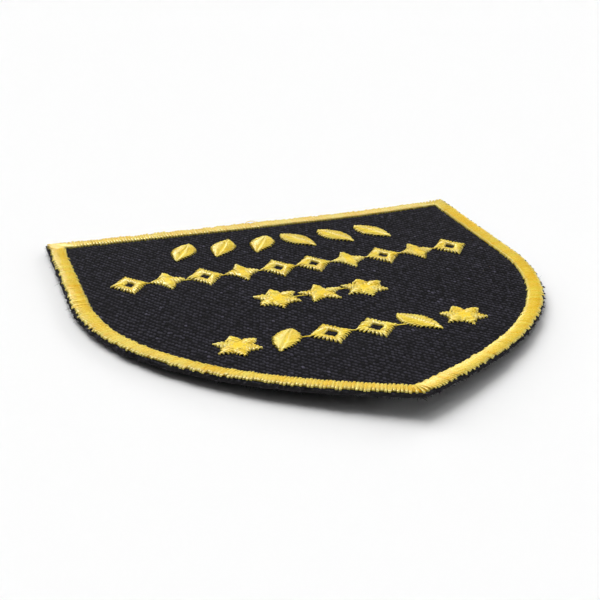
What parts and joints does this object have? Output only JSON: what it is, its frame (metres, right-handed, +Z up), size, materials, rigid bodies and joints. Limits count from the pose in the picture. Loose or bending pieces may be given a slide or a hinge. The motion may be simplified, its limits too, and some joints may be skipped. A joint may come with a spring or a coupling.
{
  "type": "embroidered patch",
  "caption": "Black twill shield patch with a raised yellow satin-stitched border and rows of embroidered leaves, lozenges and stars.",
  "frame": {"origin": "middle of the cut outline, on the surface that the patch rests on", "axes": "+Z up out of the embroidered face, +Y towards the straight top edge, +X to the right when the top edge is away from you"},
  "size_m": [0.0694, 0.0716, 0.0031],
  "materials": {
    "black_twill": "matt woven polyester twill",
    "border_satin": "glossy rayon satin stitch",
    "motif_satin": "glossy rayon satin stitch"
  },
  "bodies": {
    "root": {"ground_cloth": "black_twill", "border_band": "border_satin", "row_1_leaf_1": "motif_satin", "row_1_leaf_2": "motif_satin", "row_1_leaf_3": "motif_satin", "row_1_leaf_4": "motif_satin", "row_1_leaf_5": "motif_satin", "row_1_leaf_6": "motif_satin", "row_2_lozenge_1": "motif_satin", "row_2_spark_2": "motif_satin", "row_2_lozenge_3": "motif_satin", "row_2_spark_4": "motif_satin", "row_2_lozenge_5": "motif_satin", "row_2_lozenge_6": "motif_satin", "row_2_spark_7": "motif_satin", "row_2_lozenge_8": "motif_satin", "row_2_spark_9": "motif_satin", "row_2_lozenge_10": "motif_satin", "row_3_rosette_1": "motif_satin", "row_3_star_2": "motif_satin", "row_3_rosette_3": "motif_satin", "row_4_rosette_1": "motif_satin", "row_4_leaf_2": "motif_satin", "row_4_lozenge_3": "motif_satin", "row_4_lozenge_4": "motif_satin", "row_4_leaf_5": "motif_satin", "row_4_rosette_6": "motif_satin"}
  },
  "joints": []
}
